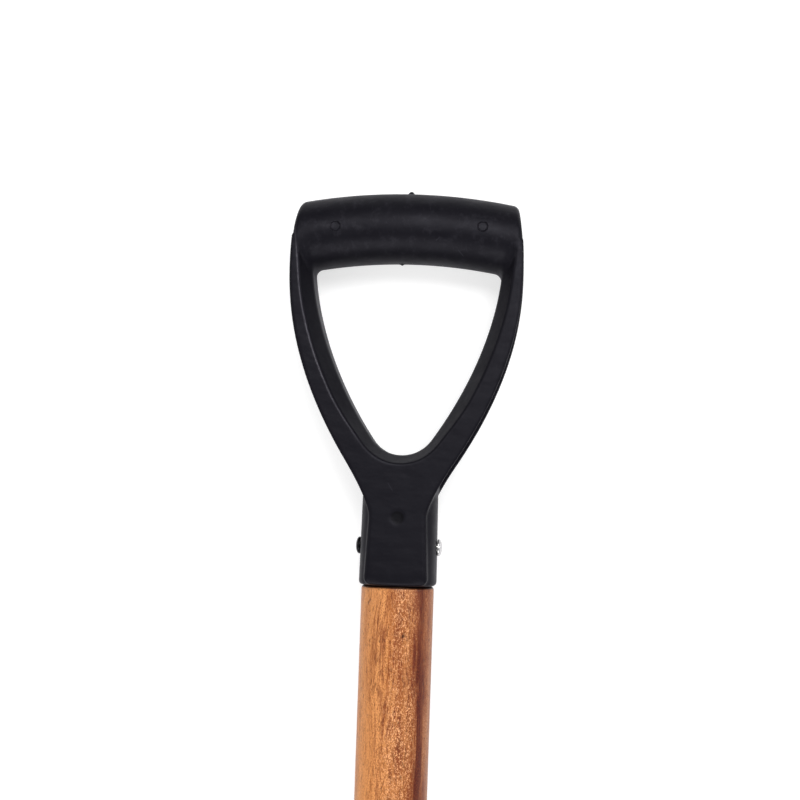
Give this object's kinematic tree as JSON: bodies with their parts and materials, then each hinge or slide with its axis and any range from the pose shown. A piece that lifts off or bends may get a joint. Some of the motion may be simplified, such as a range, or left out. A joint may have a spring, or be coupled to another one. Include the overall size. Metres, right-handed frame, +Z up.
{
  "type": "pointed shovel",
  "caption": "Pointed shovel with a dished steel blade, a round wooden shaft and a moulded plastic D-shaped hand grip.",
  "frame": {"origin": "on the ground under the middle of the shovel as it lies on its back", "axes": "+Y from the blade's point to the grip, +Z up, away from the ground, out of the blade's working face"},
  "size_m": [0.2158, 1.0956, 0.063],
  "materials": {
    "moulded_plastic": "black satin moulding with a fine texture",
    "varnished_wood": "orange-brown acacia under clear varnish",
    "plated_steel": "bright plated screw heads",
    "coated_steel": "black coated sheet with worn edges",
    "rivet_steel": "dull steel rivet heads"
  },
  "bodies": {
    "root": {"grip": "moulded_plastic", "shaft": "varnished_wood", "grip_screw_left": "plated_steel", "grip_screw_right": "plated_steel", "blade": "coated_steel", "socket_rivet_upper": "rivet_steel", "socket_rivet_lower": "rivet_steel"}
  },
  "joints": []
}
